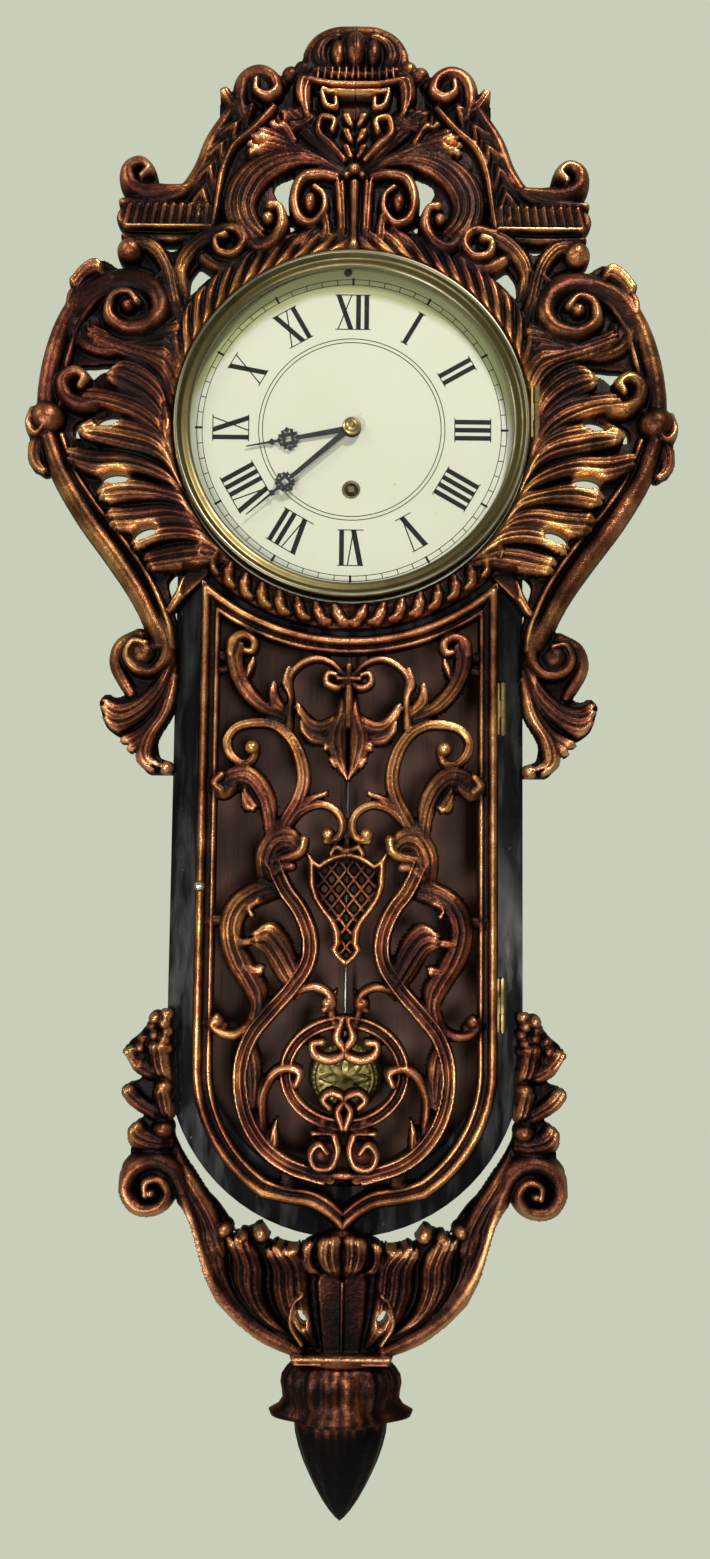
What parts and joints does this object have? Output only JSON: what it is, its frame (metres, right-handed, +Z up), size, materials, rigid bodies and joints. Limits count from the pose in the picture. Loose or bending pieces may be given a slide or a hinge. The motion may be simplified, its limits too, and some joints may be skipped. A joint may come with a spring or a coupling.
{
  "type": "pendulum wall clock",
  "caption": "Wall clock with a pierced cast surround round a white dial, a pierced hinged door over the pendulum and a cast bracket with a bud below.",
  "frame": {"origin": "on the wall plane at the back of the case, straight behind the hand arbor", "axes": "+Z up along the clock's height, +X to the viewer's right, +Y into the wall, so the dial faces -Y"},
  "size_m": [0.42, 0.106, 0.956],
  "materials": {
    "wood_board": "stained and dull",
    "wood_post": "turned, unvarnished",
    "case_black": "glossy black lacquer",
    "casting": "bronzed, reddish copper with gold on the ridges and dark hollows",
    "dial": "cream enamel paint, yellowed at the top edge",
    "brass": "aged, olive, bright at the rim",
    "glass": "clear, domed",
    "steel": "plain",
    "movement_brass": "lacquered",
    "bob_brass": "embossed, yellow",
    "hand_blued": "blued, grey where light strikes it"
  },
  "bodies": {
    "clock": {"back_board_left": "wood_board", "back_board_right": "wood_board", "hanger_plate": "steel", "case_side_left": "case_black", "case_side_right": "case_black", "case_head_hoop": "case_black", "case_bottom_arch": "case_black", "front_frame": "case_black", "head_casting": "casting", "bracket_casting": "casting", "bracket_finial": "casting", "dial_plate": "dial", "dial_screw": "steel", "bezel_case_leaf": "brass", "bezel_hinge_pin": "steel", "upper_case_leaf": "brass", "upper_hinge_pin": "steel", "lower_case_leaf": "brass", "lower_hinge_pin": "steel", "back_plate": "movement_brass", "front_plate": "movement_brass", "pillar_upper_left": "movement_brass", "pillar_upper_right": "movement_brass", "pillar_lower_left": "movement_brass", "pillar_lower_right": "movement_brass", "post_upper_left": "wood_post", "post_upper_right": "wood_post", "post_lower_left": "wood_post", "post_lower_right": "wood_post", "mainspring": "steel", "suspension_cock": "movement_brass"},
    "bezel": {"bezel_ring": "brass", "bezel_glass": "glass", "bezel_door_leaf": "brass"},
    "door": {"door_casting": "casting", "upper_door_leaf": "brass", "lower_door_leaf": "brass"},
    "latch": {"door_latch": "steel", "door_knob": "brass"},
    "winding": {"winding_arbor": "steel"},
    "great": {"great_wheel": "movement_brass"},
    "second": {"second_wheel": "movement_brass"},
    "centre": {"centre_wheel": "movement_brass"},
    "third": {"third_wheel": "movement_brass"},
    "escape": {"escape_wheel": "movement_brass"},
    "verge_body": {"verge": "steel"},
    "pendulum": {"suspension_spring": "steel", "pendulum_rod": "steel", "pendulum_bob": "bob_brass"},
    "nut": {"rating_nut": "bob_brass"},
    "minute_hand_body": {"cannon_pinion": "movement_brass", "minute_hand": "hand_blued", "hand_nut": "brass"},
    "minute_wheel_body": {"minute_wheel": "movement_brass"},
    "hour_hand_body": {"hour_wheel": "movement_brass", "hour_hand": "hand_blued"}
  },
  "joints": [
    {"name": "bezel_hinge", "type": "hinge", "parent": "clock", "child": "bezel", "pos_m": [0.1196, -0.095, 0.008], "axis": [0, 0, 1], "range_deg": [0, 95]},
    {"name": "door_hinge", "type": "hinge", "parent": "clock", "child": "door", "pos_m": [0.0988, -0.088, -0.278], "axis": [0, 0, 1], "range_deg": [0, 95]},
    {"name": "latch_turn", "type": "hinge", "parent": "door", "child": "latch", "pos_m": [-0.0915, -0.09, -0.299], "axis": [0, 1, 0], "range_deg": [0, 90]},
    {"name": "pendulum_swing", "type": "hinge", "parent": "clock", "child": "pendulum", "pos_m": [0, -0.024, 0.045], "axis": [0, 1, 0], "range_deg": [-3.5, 3.5]},
    {"name": "verge_rock", "type": "hinge", "parent": "clock", "child": "verge_body", "pos_m": [0, -0.045, 0.045], "axis": [0, 1, 0], "range_deg": [-3.5, 3.5]},
    {"name": "rating_nut_turn", "type": "hinge", "parent": "pendulum", "child": "nut", "pos_m": [0, -0.024, -0.4535], "axis": [0, 0, 1], "continuous": true},
    {"name": "winding_turn", "type": "hinge", "parent": "clock", "child": "winding", "pos_m": [0, -0.06, -0.0406], "axis": [0, 1, 0], "continuous": true},
    {"name": "centre_turn", "type": "hinge", "parent": "clock", "child": "centre", "pos_m": [0, -0.05, 0], "axis": [0, 1, 0], "continuous": true},
    {"name": "great_turn", "type": "hinge", "parent": "clock", "child": "great", "pos_m": [0, -0.045, -0.0406], "axis": [0, 1, 0], "continuous": true},
    {"name": "second_turn", "type": "hinge", "parent": "clock", "child": "second", "pos_m": [0.01694, -0.045, -0.01404], "axis": [0, 1, 0], "continuous": true},
    {"name": "third_turn", "type": "hinge", "parent": "clock", "child": "third", "pos_m": [-0.0155, -0.055, 0.0156], "axis": [0, 1, 0], "continuous": true},
    {"name": "escape_turn", "type": "hinge", "parent": "clock", "child": "escape", "pos_m": [0, -0.06, 0.02624], "axis": [0, 1, 0], "continuous": true},
    {"name": "minute_hand_turn", "type": "hinge", "parent": "clock", "child": "minute_hand_body", "pos_m": [0, -0.08, 0], "axis": [0, 1, 0], "continuous": true},
    {"name": "minute_wheel_turn", "type": "hinge", "parent": "clock", "child": "minute_wheel_body", "pos_m": [-0.01414, -0.073, -0.01414], "axis": [0, 1, 0], "continuous": true},
    {"name": "hour_hand_turn", "type": "hinge", "parent": "clock", "child": "hour_hand_body", "pos_m": [0, -0.08, 0], "axis": [0, 1, 0], "continuous": true}
  ],
  "couplings": [
    {"joint": "verge_rock", "follows": "pendulum_swing", "ratio": 1},
    {"joint": "third_turn", "follows": "escape_turn", "ratio": -0.175},
    {"joint": "centre_turn", "follows": "escape_turn", "ratio": 0.027632},
    {"joint": "second_turn", "follows": "escape_turn", "ratio": -0.0043629},
    {"joint": "great_turn", "follows": "escape_turn", "ratio": 0.00054536},
    {"joint": "minute_wheel_turn", "follows": "minute_hand_turn", "ratio": -0.33333},
    {"joint": "hour_hand_turn", "follows": "minute_hand_turn", "ratio": 0.083333}
  ]
}
